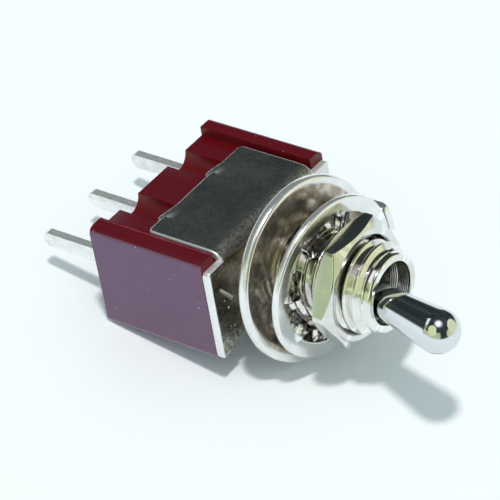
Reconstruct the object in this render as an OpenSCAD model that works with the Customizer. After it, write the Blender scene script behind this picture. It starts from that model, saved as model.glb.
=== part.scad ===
// Miniature toggle switch with straight pins for a circuit board.
// Millimetres. The origin is the middle of the case's underside, which sits on the board.
// +Z runs up the bushing to the lever, X runs along the row of pins, Y across the case.

/* [Case] */
// Length of the case along the pin row
case_l = 13.2; // [12.8:0.1:14.4]
// Width of the case over its end ribs
case_w = 7.6; // [7.4:0.1:8.6]
// Height of the case from the board to the frame
case_h = 8.75; // [8.4:0.05:9.6]
// Thickness of each end rib along the pin row
rib_t = 1.26; // [1.1:0.02:1.4]
// Height of an end rib above the side of the case
rib_step = 0.66; // [0.6:0.02:0.8]
// Radius of the upright outer edges of the end ribs
rib_round = 0.5; // [0.2:0.02:0.6]
// Thickness of the case floor
floor_t = 1.6; // [1.4:0.1:1.8]
// Clearance between the end terminals' pads and the ends of the contact chamber
chamber_gap = 0.15; // [0.1:0.05:0.3]
// Width of the contact chamber
chamber_w = 3.1; // [2.9:0.05:3.3]
// Width of each crimping groove in the sides
groove_w = 1.9; // [1.8:0.05:2.1]
// Depth of each crimping groove
groove_depth = 0.95; // [0.9:0.05:1.0]
// Distance of a crimping groove from the middle of the case
groove_x = 2.55; // [2.4:0.05:2.8]
// Depth of the resin seal in the underside
seal_depth = 0.5; // [0.3:0.05:0.7]
// Margin of the resin seal round the pins
seal_margin = 0.7; // [0.4:0.05:0.8]

/* [Frame] */
// Thickness of the frame's sheet
frame_t = 0.5; // [0.4:0.05:0.6]
// Inner radius of the frame's two bends
bend_r = 0.45; // [0.3:0.05:0.6]
// Gap between each end of a wing and the rib beside it
wing_gap = 0.33; // [0.2:0.01:0.5]
// Reach of each wing down the side of the case
wing_drop = 5.3; // [5:0.05:5.6]
// Corner radius at the free end of a wing
wing_corner = 0.4; // [0.2:0.05:0.6]
// Width of the front plate at its two ends
plate_w = 6.7; // [6.2:0.05:7]
// Corner radius of the front plate
plate_corner = 0.3; // [0.1:0.05:0.5]
// Offset of the front plate's two ends across the case
plate_shift = 0.24; // [0:0.02:0.3]
// Height of the sheared lips that are pressed into the grooves
crimp_h = 0.9; // [0.6:0.05:1]
// Depth that a lip is pressed into its groove
crimp_depth = 0.25; // [0.2:0.05:0.45]
// Length that pressing draws out the sheared end of a lip
crimp_reach = 0.5; // [0.2:0.05:0.6]

/* [Bushing] */
// Outer diameter of the bushing thread
thread_d = 6.0; // [5.9:0.05:6.1]
// Length of the bushing in front of the frame
bushing_l = 8.85; // [8.6:0.05:9.2]
// Outer diameter of the plain lip at the free end
lip_d = 5.24; // [5:0.02:5.4]
// Length of the plain lip
lip_l = 0.45; // [0.3:0.05:0.7]
// Diameter of the mouth in front of the lever
mouth_d = 4.1; // [4.05:0.05:4.4]
// Length of the straight part of the mouth
mouth_l = 0.9; // [0.5:0.1:1.2]
// Diameter of the waist above the lever's ball
waist_d = 2.9; // [2.8:0.05:3]
// Length of the bushing's foot along the pin row
foot_l = 8.0; // [7.4:0.1:8.6]
// Width of the bushing's foot
foot_w = 5.0; // [4.9:0.05:5.1]
// Thickness of the bushing's foot
foot_t = 0.8; // [0.6:0.05:1]
// Width of the keyway along the thread
key_w = 1.7; // [1.5:0.05:1.9]
// Depth of the keyway
key_depth = 0.5; // [0.45:0.01:0.55]

/* [Lever] */
// Height of the lever's pivot above the frame
pivot_rise = 4.75; // [4.6:0.05:4.9]
// Angle of the lever to each side of upright
lever_angle = 12; // [11:0.5:12]
// Length of the lever from its pivot to the tip
lever_l = 10.2; // [9.6:0.1:11]
// Diameter of the round tip
tip_d = 2.86; // [2.6:0.02:2.9]
// Diameter of the neck above the ball
neck_d = 1.64; // [1.5:0.02:1.7]
// Diameter of the pivot ball
ball_d = 3.9; // [3.8:0.02:3.92]
// Diameter of the two trunnions on the ball
trunnion_d = 0.9; // [0.7:0.05:1]
// Length over both trunnions
trunnion_l = 4.4; // [4.2:0.05:4.45]
// Diameter of the stem below the ball
stem_d = 2.0; // [1.9:0.05:2.1]
// Reach of the plunger out of the stem, to the middle of its round tip
plunger_out = 1.6; // [1.4:0.1:2]
// Diameter of the plunger in the stem
plunger_d = 1.2; // [1.0:0.05:1.3]
// Length of the plunger that stays inside the stem
plunger_hold = 1.8; // [1.4:0.1:2.2]
// Diameter of the spigot that carries the spring
spigot_d = 0.5; // [0.4:0.05:0.55]
// Length of the spigot
spigot_l = 0.8; // [0.6:0.1:1]
// Depth of solid metal left between the spring and the pivot
spring_roof = 1.4; // [1.2:0.1:1.8]
// Diameter of the spring's wire
wire_d = 0.18; // [0.14:0.01:0.2]
// Number of turns of the spring
spring_turns = 9; // [7:1:11]

/* [Contacts] */
// Distance between neighbouring pins
pin_pitch = 4.7; // [4.6:0.02:4.75]
// Length of the pins below the board plane
pin_l = 5.8; // [3.5:0.1:6]
// Thickness of a pin along the row
pin_t = 0.6; // [0.5:0.02:0.7]
// Width of a pin across the row
pin_w = 1.1; // [1:0.05:1.2]
// Corner radius at the end of a pin
pin_round = 0.45; // [0.2:0.05:0.5]
// Height of the rocker's fulcrum above the board plane
fulcrum_h = 3.0; // [2.9:0.05:3.2]
// Angle of the rocker to each side of level
rocker_angle = 5; // [4.5:0.25:5.5]
// Width of the rocker
rocker_w = 2.4; // [2.2:0.05:2.5]
// Thickness of the rocker's strip
rocker_t = 0.35; // [0.3:0.01:0.4]
// Half length of the dish that the plunger rides in
dish_x = 2.5; // [2.4:0.05:2.6]
// Flattening of the dish that makes the lever snap over
dish_flat = 1.25; // [1.15:0.05:1.35]
// Diameter of the contact buttons
button_d = 1.2; // [1:0.05:1.3]
// Thickness of the contact buttons
button_t = 0.3; // [0.2:0.05:0.4]
// Thickness of the pad on top of an end terminal
pad_t = 0.4; // [0.3:0.05:0.5]

/* [Hardware] */
// Width of the nut across its flats
nut_af = 7.66; // [7.5:0.02:8]
// Thickness of the nut
nut_t = 1.5; // [1.3:0.05:1.6]
// Height of the nut's underside above the frame
nut_rise = 5.37; // [5.3:0.01:5.6]
// Diameter of the flat on each face of the nut
nut_face_d = 7.3; // [7.1:0.05:7.4]
// Depth of the countersink at each end of the nut's thread
nut_sink = 0.25; // [0.15:0.05:0.35]
// Outer diameter of the locating washer
locating_d = 12.14; // [11.6:0.02:12.4]
// Thickness of the locating washer
locating_t = 0.75; // [0.6:0.05:0.8]
// Height of the locating washer's middle above the frame
locating_rise = 2.36; // [2.3:0.02:2.4]
// Lean of the loose locating washer along the pin row
locating_lean_x = 5; // [4:0.2:5.2]
// Lean of the loose locating washer across the case
locating_lean_y = 6.2; // [5:0.2:6.4]
// Turn of the locating washer in the play of its key
locating_turn = 3; // [0:0.5:4]
// Width of the locating washer's bent tab
tab_w = 2.2; // [1.8:0.1:2.6]
// Height of the bent tab above the washer
tab_h = 1.6; // [1.3:0.05:1.8]
// Thickness of the bent tab
tab_t = 0.5; // [0.4:0.05:0.55]
// Reach of the bent tab past the washer's rim
tab_reach = 0.3; // [0.2:0.05:0.4]
// Radius of the two upper corners of the bent tab
tab_round = 0.5; // [0.2:0.05:0.8]
// Width of the tongue that runs in the keyway
tongue_w = 1.0; // [0.8:0.05:1.1]
// Outer diameter of the toothed lock washer
lock_d = 10.86; // [10.6:0.02:11]
// Thickness of the lock washer
lock_t = 0.5; // [0.4:0.02:0.55]
// Width of the lock washer's plain ring
lock_ring = 1.1; // [1:0.05:1.2]
// Number of teeth in the lock washer
lock_teeth = 8; // [7:1:9]
// Twist of each tooth out of the ring
lock_twist = 22; // [15:1:25]
// Height of the lock washer's middle above the frame
lock_rise = 4.22; // [4.18:0.01:4.26]
// Lean of the loose lock washer along the pin row
lock_lean_x = 6.4; // [5.6:0.2:6.8]
// Lean of the loose lock washer across the case
lock_lean_y = -1.4; // [-1.6:0.2:-0.6]
// Radius of the edges of both washers' rims
rim_round = 0.12; // [0.06:0.02:0.16]

/* [Fits] */
// Radial clearance of the running fits
run_gap = 0.05; // [0.03:0.005:0.06]
// Clearance round the fixed pieces in their seats
seat_gap = 0.03; // [0.02:0.005:0.05]
// Clearance between the plunger's tip and the dish
dish_gap = 0.05; // [0.04:0.005:0.07]
// Gap between the closed contacts
contact_gap = 0.03; // [0.02:0.005:0.05]
// Radial clearance of the loose washers on the bushing
washer_gap = 0.32; // [0.3:0.01:0.36]
// Drop of the loose washers across the case, in that clearance
washer_drop = 0.2; // [0.1:0.02:0.22]

/* [Hidden] */
$fn = 64;
// Small overlap that lets one cut run past the face that it opens
eps = 0.01;
// Levels and half sizes of the case and frame
block_w = case_w - 2 * rib_step;
pad_l = button_d + pad_t / 2;
chamber_l = 2 * (pin_pitch + pad_l / 2 + chamber_gap);
wing_w = case_l - 2 * (rib_t + wing_gap);
wing_end = case_h - wing_drop;
bend_start = block_w / 2 - bend_r;
groove_h = wing_end + crimp_h + frame_t;
crimp_l = groove_w - 2 * frame_t / 3;
plate_top = case_h + frame_t;
// Places and profiles of the bushing and the lever
thread_r = thread_d / 2;
ball_bore_r = ball_d / 2 + run_gap;
pivot_z = plate_top + pivot_rise;
bushing_end = plate_top + bushing_l;
foot_z = case_h - foot_t;
stem_slot_top = pivot_z - (ball_bore_r - run_gap - stem_d / 2 / cos(lever_angle)) / tan(lever_angle);
stem_slot_half = (pivot_z - foot_z) * tan(lever_angle) + stem_d / 2 / cos(lever_angle) + run_gap;
tip_z = lever_l - tip_d / 2;
neck_z = ball_d / 2;
stem_bore_r = plunger_d / 2 + run_gap;
// The plunger's round tip stays clear of the dish while lever and rocker turn opposite ways
turn_ratio = rocker_angle / lever_angle;
fulcrum_d = pin_t;
saddle_r = fulcrum_d / 2 + run_gap;
dish_z = saddle_r + rocker_t + run_gap;
tip_rise = dish_z + plunger_d / 2 + dish_gap;
plunger_reach = pivot_z - fulcrum_h - tip_rise;
stem_l = plunger_reach - plunger_out;
path_r = pow(plunger_reach - turn_ratio * tip_rise, 2)
    / (2 * plunger_reach * (turn_ratio + 0.5) - tip_rise * pow(turn_ratio, 2));
dish_r = dish_flat * path_r + plunger_d / 2 + dish_gap;
rim_z = dish_z + dish_r - sqrt(pow(dish_r, 2) - pow(dish_x, 2));
dish_end = dish_x + rocker_t / 2;
arm_root = rocker_t / 4;
// Places of the closed contact, with the rocker tipped to that side
arm_x = dish_x * cos(rocker_angle) + rim_z * sin(rocker_angle);
arm_z = fulcrum_h + rim_z * cos(rocker_angle) - dish_x * sin(rocker_angle);
arm_l = pin_pitch - arm_x + button_d / 2;
contact_z = arm_z - rocker_t - button_t - contact_gap;
pad_z = contact_z - button_t;
saddle_leg = rocker_t;
// Places of the loose hardware
nut_z = plate_top + nut_rise;
washer_r = thread_r + washer_gap;
locating_z = plate_top + locating_rise;
lock_z = plate_top + lock_rise;
spring_r = (plunger_d - wire_d) / 2;
spring_sides = 6;
spring_steps = 12;
// Facets of a crimped lip each way
lip_steps = 6;

// Rectangle with round corners, centred on the origin
module round_rect(size, r) {
    square([size[0] - 2 * r, size[1]], center = true);
    square([size[0], size[1] - 2 * r], center = true);
    for (x = [-1, 1], y = [-1, 1]) {
        translate([x * (size[0] / 2 - r), y * (size[1] / 2 - r)]) circle(r);
    }
}

// Arch of width w and height h on the X axis, with two round upper corners
module arch(w, h, r) {
    translate([-w / 2, 0]) square([w, h - r]);
    translate([-w / 2 + r, 0]) square([w - 2 * r, h]);
    for (x = [-1, 1]) {
        translate([x * (w / 2 - r), h - r]) circle(r);
    }
}

// Cross-section in the Y-Z plane run along X over a length, centred
module along_x(length) {
    rotate([90, 0, 90]) linear_extrude(length, center = true) children();
}

// Side view in the X-Z plane run across the case over a width, centred
module across_y(width) {
    rotate([90, 0, 0]) linear_extrude(width, center = true) children();
}

// Turns the lever and what is in it to the rest side, about its pivot
module at_lever_rest() {
    translate([0, 0, pivot_z]) rotate([0, -lever_angle, 0]) children();
}

// Turns the rocker and its buttons to the rest side, about the fulcrum
module at_rocker_rest() {
    translate([0, 0, fulcrum_h]) rotate([0, rocker_angle, 0]) children();
}

// Straight pin through the floor, from its end below the board to a height
module pin(top) {
    along_x(pin_t) mirror([0, 1]) translate([0, -top]) arch(pin_w, top + pin_l, pin_round);
}

// Moulded case with end ribs, crimping grooves, contact chamber and pin slots
module case_block() {
    along_x(case_l - 2 * rib_t + 2 * eps) arch(block_w, case_h, bend_r);
    for (side = [-1, 1]) {
        translate([side * (case_l - rib_t) / 2, 0, 0]) case_rib(side);
    }
}

// End rib that covers one end of the case, round on its two outer upright edges
module case_rib(side) {
    linear_extrude(case_h) {
        translate([-side * rib_round / 2, 0]) square([rib_t - rib_round, case_w], center = true);
        square([rib_t, case_w - 2 * rib_round], center = true);
        for (y = [-1, 1]) {
            translate([side * (rib_t / 2 - rib_round), y * (case_w / 2 - rib_round)]) circle(rib_round);
        }
    }
}

// Half-round crimping groove cut up one side of the case
module crimp_groove() {
    translate([0, block_w / 2 - groove_depth + groove_w / 2, -eps]) {
        cylinder(h = groove_h + eps, d = groove_w);
        translate([-groove_w / 2, 0, 0]) cube([groove_w, groove_depth, groove_h + eps]);
    }
}

module case() {
    color([0.4, 0.05, 0.08]) difference() {
        case_block();
        translate([0, 0, (case_h + floor_t + eps) / 2])
            cube([chamber_l, chamber_w, case_h - floor_t + eps], center = true);
        translate([0, 0, foot_z]) linear_extrude(foot_t + eps)
            square([foot_l + 2 * seat_gap, foot_w + 2 * seat_gap], center = true);
        translate([0, 0, -eps]) linear_extrude(seal_depth + eps) seal_outline();
        for (x = [-1, 0, 1]) {
            translate([x * pin_pitch, 0, floor_t / 2]) pin_slot(floor_t + 2 * eps);
        }
        for (x = [-1, 1], y = [0, 1]) {
            mirror([0, y, 0]) translate([x * groove_x, 0, 0]) crimp_groove();
        }
    }
}

// Slot that a pin stands in
module pin_slot(height) {
    cube([pin_t + 2 * seat_gap, pin_w + 2 * seat_gap, height], center = true);
}

module seal_outline() {
    square([2 * pin_pitch + pin_t + 2 * seal_margin, pin_w + 2 * seal_margin], center = true);
}

// Resin that seals the pins in the underside, a little below the board face
module terminal_seal() {
    color([0.12, 0.1, 0.09]) difference() {
        translate([0, 0, seat_gap]) linear_extrude(seal_depth - seat_gap) seal_outline();
        for (x = [-1, 0, 1]) {
            translate([x * pin_pitch, 0, seal_depth / 2]) pin_slot(seal_depth + 2 * eps);
        }
    }
}

// Frame folded from sheet: front plate, two wings, and lips crimped into the grooves
module frame() {
    color([0.72, 0.72, 0.7]) difference() {
        union() {
            frame_channel();
            translate([0, 0, case_h]) linear_extrude(frame_t) plate_outline();
            for (x = [-1, 1], y = [0, 1]) {
                mirror([0, y, 0]) translate([x * groove_x, block_w / 2, wing_end]) crimp_lip();
            }
        }
        translate([0, 0, case_h - eps]) cylinder(h = frame_t + 2 * eps, r = thread_r + seat_gap);
    }
}

// Front plate seen from above: two wide ends, and a middle that stops where the bends start
module plate_outline() {
    difference() {
        translate([0, -plate_shift]) round_rect([case_l, plate_w], plate_corner);
        for (side = [-1, 1]) {
            translate([0, side * (bend_start + case_w / 2)]) square([wing_w, case_w], center = true);
        }
    }
}

// The two wings and the middle of the plate, with round wing corners and room for the lips
module frame_channel() {
    difference() {
        intersection() {
            along_x(wing_w) arch(block_w + 2 * frame_t, plate_top, bend_r + frame_t);
            across_y(case_w + 2 * frame_t) translate([0, wing_end + plate_top])
                round_rect([wing_w, 2 * plate_top], wing_corner);
        }
        translate([0, 0, -eps]) along_x(wing_w + 2 * eps) arch(block_w, case_h + eps, bend_r);
        for (x = [-1, 1]) {
            translate([x * groove_x, 0, wing_end + (crimp_h - eps) / 2])
                cube([crimp_l, case_w + 2 * frame_t, crimp_h + eps], center = true);
        }
    }
}

// Share of the pressing along a lip: all of it at the sheared end, nothing at the other
function lip_share(x) = (1 - sin(180 * x / crimp_l)) / 2;

// How far a lip is pressed in: most at its sheared end and free edge, running out to nothing
function lip_depth(x, z) = crimp_depth * lip_share(x) * (1 + cos(180 * z / crimp_h)) / 2;

// Height of a row of the lip, drawn out past the wing's edge where it is pressed most
function lip_row(x, z) = z - crimp_reach * lip_share(x) * (1 - min(z / crimp_h, 1));

// Lip sheared at one end and dished smoothly into the groove from there
module crimp_lip() {
    columns = [for (i = [0:lip_steps]) (i / lip_steps - 0.5) * crimp_l];
    rows = concat([for (j = [0:lip_steps - 1]) crimp_h * j / lip_steps], [crimp_h + eps]);
    points = [for (face = [0, frame_t], x = columns, z = rows)
        [x, face - (z > crimp_h ? 0 : lip_depth(x, z)), lip_row(x, z)]];
    n = lip_steps + 1;
    cells = [for (i = [0:lip_steps - 1], j = [0:lip_steps - 1]) i * n + j];
    inner = [for (c = cells) each [[c, c + n + 1, c + n], [c, c + 1, c + n + 1]]];
    outer = [for (f = inner) [f[0] + n * n, f[2] + n * n, f[1] + n * n]];
    rim = concat(
        [for (j = [0:lip_steps - 1]) j],
        [for (i = [0:lip_steps - 1]) i * n + lip_steps],
        [for (j = [lip_steps:-1:1]) lip_steps * n + j],
        [for (i = [lip_steps:-1:1]) i * n]
    );
    walls = [for (k = [0:len(rim) - 1])
        let (a = rim[k], b = rim[(k + 1) % len(rim)])
        each [[a, b + n * n, b], [a, a + n * n, b + n * n]]];
    polyhedron(points, concat(inner, outer, walls));
}

// Turned bushing: foot under the frame, threaded body, keyway, plain lip and hourglass bore
module bushing() {
    color([0.75, 0.75, 0.7]) difference() {
        union() {
            translate([0, 0, foot_z]) linear_extrude(foot_t) square([foot_l, foot_w], center = true);
            rotate_extrude() bushing_outline();
        }
        rotate_extrude() bushing_bore();
        translate([0, 0, (foot_z + stem_slot_top - eps) / 2])
            cube([2 * stem_slot_half, stem_d + 4 * run_gap, stem_slot_top - foot_z + eps], center = true);
        translate([0, 0, foot_z - eps]) trunnion_slot(pivot_z - foot_z + eps);
        translate([thread_r - key_depth, -key_w / 2, plate_top])
            cube([thread_r, key_w, bushing_l + eps]);
    }
}

// Outside of the bushing's turned body
module bushing_outline() {
    lip_z = bushing_end - lip_l;
    polygon([
        [0, foot_z + eps],
        [foot_w / 2 - run_gap, foot_z + eps],
        [foot_w / 2 - run_gap, case_h],
        [thread_r, case_h],
        [thread_r, lip_z - (thread_r - lip_d / 2)],
        [lip_d / 2, lip_z],
        [lip_d / 2, bushing_end],
        [0, bushing_end]
    ]);
}

// Bore: straight below the ball, a cone that the ball seats on, a waist and a flared mouth
module bushing_bore() {
    seat_sum = (ball_d / 2 + run_gap) * sqrt(2);
    waist_z = pivot_z + seat_sum - waist_d / 2;
    polygon([
        [0, foot_z - eps],
        [ball_bore_r, foot_z - eps],
        [ball_bore_r, pivot_z + seat_sum - ball_bore_r],
        [waist_d / 2, waist_z],
        [waist_d / 2, waist_z + run_gap],
        [mouth_d / 2, bushing_end - mouth_l],
        [mouth_d / 2, bushing_end + eps],
        [0, bushing_end + eps]
    ]);
}

// Slot up both sides of the bore, with a round roof that the trunnions bear on
module trunnion_slot(height) {
    r = trunnion_d / 2 + run_gap;
    across_trunnions = trunnion_l + 4 * run_gap;
    translate([-r, -across_trunnions / 2, 0]) cube([2 * r, across_trunnions, height]);
    translate([0, 0, height]) rotate([90, 0, 0]) cylinder(h = across_trunnions, r = r, center = true);
}

// Lever turned in one piece: bat with a round tip, pivot ball, trunnions and a bored stem
module toggle_lever() {
    color([0.85, 0.85, 0.85]) at_lever_rest() difference() {
        union() {
            rotate_extrude() lever_bat();
            sphere(d = ball_d);
            rotate([90, 0, 0]) cylinder(h = trunnion_l, d = trunnion_d, center = true);
            translate([0, 0, -stem_l]) cylinder(h = stem_l, d = stem_d);
        }
        translate([0, 0, -stem_l - eps]) cylinder(h = stem_l - spring_roof + eps, r = stem_bore_r);
    }
}

// Half outline of the bat above the pivot
module lever_bat() {
    polygon([
        [0, 0],
        [neck_d / 2, 0],
        [neck_d / 2, neck_z],
        [tip_d / 2, tip_z],
        [0, tip_z]
    ]);
    intersection() {
        translate([0, tip_z]) circle(d = tip_d);
        translate([0, tip_z - eps]) square(tip_d);
    }
}

// Plunger with a round tip on the rocker and a spigot inside the spring
module plunger() {
    top = stem_l - plunger_hold;
    color([0.93, 0.92, 0.86]) at_lever_rest() {
        translate([0, 0, -plunger_reach]) cylinder(h = plunger_reach - top, d = plunger_d);
        translate([0, 0, -plunger_reach]) sphere(d = plunger_d);
        translate([0, 0, -top - eps]) cylinder(h = spigot_l + eps, d = spigot_d);
    }
}

// Centre line of the spring at a turn, counted from its lower end
function spring_point(turn, rise) =
    [spring_r * cos(360 * turn), spring_r * sin(360 * turn), rise * turn / spring_turns];

// Coil spring between the plunger's shoulder and the roof of the stem's bore
module lever_spring() {
    low = -(stem_l - plunger_hold) + wire_d / 2 + seat_gap;
    rise = -spring_roof - wire_d / 2 - seat_gap - low;
    last = spring_turns * spring_steps;
    rings = [for (i = [0:last], s = [0:spring_sides - 1])
        let (turn = i / spring_steps, a = 360 * s / spring_sides, p = spring_point(turn, rise))
        [
            p[0] + wire_d / 2 * cos(a) * cos(360 * turn),
            p[1] + wire_d / 2 * cos(a) * sin(360 * turn),
            p[2] + wire_d / 2 * sin(a)
        ]];
    sides = [for (i = [0:last - 1], s = [0:spring_sides - 1])
        let (a = i * spring_sides + s, b = i * spring_sides + (s + 1) % spring_sides)
        [a, a + spring_sides, b + spring_sides, b]];
    ends = [
        [for (s = [0:spring_sides - 1]) s],
        [for (s = [spring_sides - 1:-1:0]) last * spring_sides + s]
    ];
    color([0.6, 0.62, 0.65]) at_lever_rest() translate([0, 0, low]) polyhedron(rings, concat(sides, ends));
}

// Rocker: pressed dish that rides on the fulcrum, with an arm to each side
module rocker_contact() {
    color([0.8, 0.5, 0.3]) at_rocker_rest() across_y(rocker_w) {
        intersection() {
            translate([0, dish_z + dish_r]) difference() {
                circle(dish_r + rocker_t);
                circle(dish_r);
            }
            translate([-dish_end, 0]) square([2 * dish_end, dish_z + dish_r]);
        }
        difference() {
            translate([-saddle_r - saddle_leg, 0]) square([2 * (saddle_r + saddle_leg), dish_z - eps]);
            circle(saddle_r);
        }
        for (side = [-1, 1]) {
            translate([side * dish_x, rim_z]) rotate(side * rocker_angle)
                translate([side * (arm_root + arm_l) / 2, -rocker_t / 2])
                square([arm_l - arm_root, rocker_t], center = true);
        }
    }
}

// Contact button riveted under one arm of the rocker
module rocker_button(side) {
    color([0.85, 0.85, 0.88]) at_rocker_rest() mirror([side, 0, 0])
        translate([dish_x, 0, rim_z]) rotate([0, -rocker_angle, 0])
        translate([pin_pitch - arm_x, 0, -rocker_t - button_t]) cylinder(h = button_t, d = button_d);
}

module rocker_button_a() rocker_button(1);

module rocker_button_b() rocker_button(0);

// Middle terminal: its flat top end is the fulcrum of the rocker
module common_terminal() {
    color([0.8, 0.78, 0.72]) {
        pin(floor_t);
        translate([0, 0, (floor_t + fulcrum_h) / 2])
            cube([pin_t, rocker_w, fulcrum_h - floor_t], center = true);
        translate([0, 0, fulcrum_h]) rotate([90, 0, 0]) cylinder(h = rocker_w, d = fulcrum_d, center = true);
    }
}

// End terminal with a pad that carries the fixed contact
module end_terminal(side) {
    color([0.8, 0.78, 0.72]) translate([side * pin_pitch, 0, 0]) {
        pin(pad_z - pad_t + eps);
        translate([0, 0, pad_z - pad_t / 2]) cube([pad_l, rocker_w, pad_t], center = true);
    }
}

module end_terminal_a() end_terminal(-1);

module end_terminal_b() end_terminal(1);

// Fixed contact on the pad of an end terminal
module fixed_contact(side) {
    color([0.85, 0.85, 0.88]) translate([side * pin_pitch, 0, pad_z]) cylinder(h = button_t, d = button_d);
}

module fixed_contact_a() fixed_contact(-1);

module fixed_contact_b() fixed_contact(1);

// Places a loose washer on the bushing, leaning as it hangs there
module leaning(height, lean_x, lean_y) {
    translate([0, -washer_drop, height]) rotate([-lean_y, 0, 0]) rotate([0, -lean_x, 0]) children();
}

// Flat ring turned about Z, with its rim round on both edges
module ring(r_in, r_out, thickness) {
    rotate_extrude() {
        translate([r_in, -thickness / 2]) square([r_out - rim_round - r_in, thickness]);
        translate([r_in, rim_round - thickness / 2]) square([r_out - r_in, thickness - 2 * rim_round]);
        for (side = [-1, 1]) {
            translate([r_out - rim_round, side * (thickness / 2 - rim_round)]) circle(rim_round);
        }
    }
}

// Locating washer with a tongue in the keyway and a tab bent up at its rim
module locating_washer() {
    tongue_r = thread_r - key_depth + washer_gap;
    color([0.8, 0.8, 0.76]) leaning(locating_z, locating_lean_x, locating_lean_y) rotate(locating_turn) {
        ring(washer_r, locating_d / 2, locating_t);
        translate([tongue_r, -tongue_w / 2, -locating_t / 2])
            cube([washer_r + locating_t - tongue_r, tongue_w, locating_t]);
        intersection() {
            translate([0, 0, -locating_t / 2]) rotate_extrude() tab_section();
            translate([locating_d / 2, 0, -locating_t])
                along_x(locating_d) arch(tab_w, tab_h + 3 * locating_t / 2, tab_round);
        }
    }
}

// Section of the tab: an ear past the rim, bent up with a round outer corner
module tab_section() {
    tab_r = locating_d / 2 + tab_reach;
    square_r = tab_r - tab_t;
    translate([square_r, tab_t]) square([tab_t, tab_h + locating_t - tab_t]);
    translate([square_r - tab_t, 0]) square([tab_t, locating_t]);
    intersection() {
        translate([square_r, tab_t]) circle(tab_t);
        translate([square_r - eps, 0]) square([tab_t + eps, tab_t + eps]);
    }
}

// Lock washer: plain ring with teeth inside, each twisted out of the ring
module lock_washer() {
    ring_r = lock_d / 2 - lock_ring;
    tooth_w = PI * ring_r / lock_teeth;
    color([0.8, 0.8, 0.76]) leaning(lock_z, lock_lean_x, lock_lean_y) {
        ring(ring_r, lock_d / 2, lock_t);
        difference() {
            for (i = [0:lock_teeth - 1]) {
                rotate(360 * (i + 0.5) / lock_teeth) translate([(washer_r + ring_r) / 2, 0, 0])
                    rotate([lock_twist, 0, 0])
                    cube([ring_r - washer_r + lock_t, tooth_w, lock_t], center = true);
            }
            translate([0, 0, -tooth_w]) cylinder(h = 2 * tooth_w, r = washer_r);
        }
    }
}

// Hexagon nut, chamfered on both faces, with countersunk thread mouths
module mounting_nut() {
    bore_r = thread_r + run_gap;
    corner_r = nut_af / 2 / cos(30);
    drop = (corner_r - nut_face_d / 2) * tan(30);
    color([0.8, 0.82, 0.72]) translate([0, 0, nut_z]) difference() {
        intersection() {
            cylinder(h = nut_t, r = corner_r, $fn = 6);
            rotate_extrude() polygon([
                [0, 0],
                [nut_face_d / 2, 0],
                [corner_r, drop],
                [corner_r, nut_t - drop],
                [nut_face_d / 2, nut_t],
                [0, nut_t]
            ]);
        }
        rotate_extrude() polygon([
            [0, -eps],
            [bore_r + nut_sink + eps, -eps],
            [bore_r, nut_sink],
            [bore_r, nut_t - nut_sink],
            [bore_r + nut_sink + eps, nut_t + eps],
            [0, nut_t + eps]
        ]);
    }
}

case();
terminal_seal();
frame();
bushing();
toggle_lever();
lever_spring();
plunger();
rocker_contact();
rocker_button_a();
rocker_button_b();
common_terminal();
end_terminal_a();
end_terminal_b();
fixed_contact_a();
fixed_contact_b();
locating_washer();
lock_washer();
mounting_nut();
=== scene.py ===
"""Looks of the miniature toggle switch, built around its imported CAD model.

Shapes are worked out in millimetres, in the part's own frame, and scaled to metres at the end.
"""
import math

import bmesh
import bpy
import numpy as np
from mathutils import Matrix, Vector


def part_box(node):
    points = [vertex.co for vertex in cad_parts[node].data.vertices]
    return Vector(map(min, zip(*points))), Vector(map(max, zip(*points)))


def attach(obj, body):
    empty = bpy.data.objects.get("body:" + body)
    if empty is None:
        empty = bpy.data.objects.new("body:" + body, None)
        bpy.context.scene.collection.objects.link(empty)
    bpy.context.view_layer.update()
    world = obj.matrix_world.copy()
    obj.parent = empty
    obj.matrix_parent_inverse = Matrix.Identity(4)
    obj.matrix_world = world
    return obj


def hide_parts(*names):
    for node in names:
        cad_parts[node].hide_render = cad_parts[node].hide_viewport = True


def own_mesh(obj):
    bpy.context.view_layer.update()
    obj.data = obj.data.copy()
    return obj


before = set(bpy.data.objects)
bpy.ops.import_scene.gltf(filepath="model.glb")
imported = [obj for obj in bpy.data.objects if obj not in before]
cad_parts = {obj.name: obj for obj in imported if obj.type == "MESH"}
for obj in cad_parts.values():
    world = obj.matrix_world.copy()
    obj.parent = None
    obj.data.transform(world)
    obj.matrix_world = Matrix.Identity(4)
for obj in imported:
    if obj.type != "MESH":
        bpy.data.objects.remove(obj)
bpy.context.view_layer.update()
MM = 0.001
# A limit that lies beyond every piece, in millimetres
FAR = 99


def node_box(name):
    """Lowest and highest corner of a CAD node, in millimetres."""
    low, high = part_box(name)
    return np.array(low) / MM, np.array(high) / MM


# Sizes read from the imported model
case_low, case_high = node_box("case")
plate_top = node_box("frame")[1][2]
bushing_low, bushing_high = node_box("bushing")
nut_low, nut_high = node_box("mounting_nut")
CASE_H = case_high[2]
BUSHING_END = bushing_high[2]
FOOT_Z = bushing_low[2]

# Sizes that a box doesn't give; those that the solids share are as in the part's source
# Case: thickness of the end ribs, radius of their outer edges, place of their inner faces
RIB_T, RIB_ROUND = 1.26, 0.5
RIB_INNER = case_high[0] - RIB_T
# Frame: sheet and bends, wings, front plate, lips that are pressed into the case
SHEET_T, BEND_R, WING_Y, FLAT_Y = 0.5, 0.95, 3.64, 2.59
WING_HALF, WING_END, WING_CORNER, WING_ROLL = 5.01, 3.45, 0.4, 0.13
PLATE_HALF, PLATE_Y, PLATE_CORNER, PLATE_ROLL, PLATE_EDGE = 6.6, (-3.59, 3.11), 0.3, 0.2, 0.09
LIP_X, LIP_HALF, CRIMP_H, CRIMP_DEPTH, CRIMP_REACH = 2.55, 0.783, 0.9, 0.25, 0.5
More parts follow.
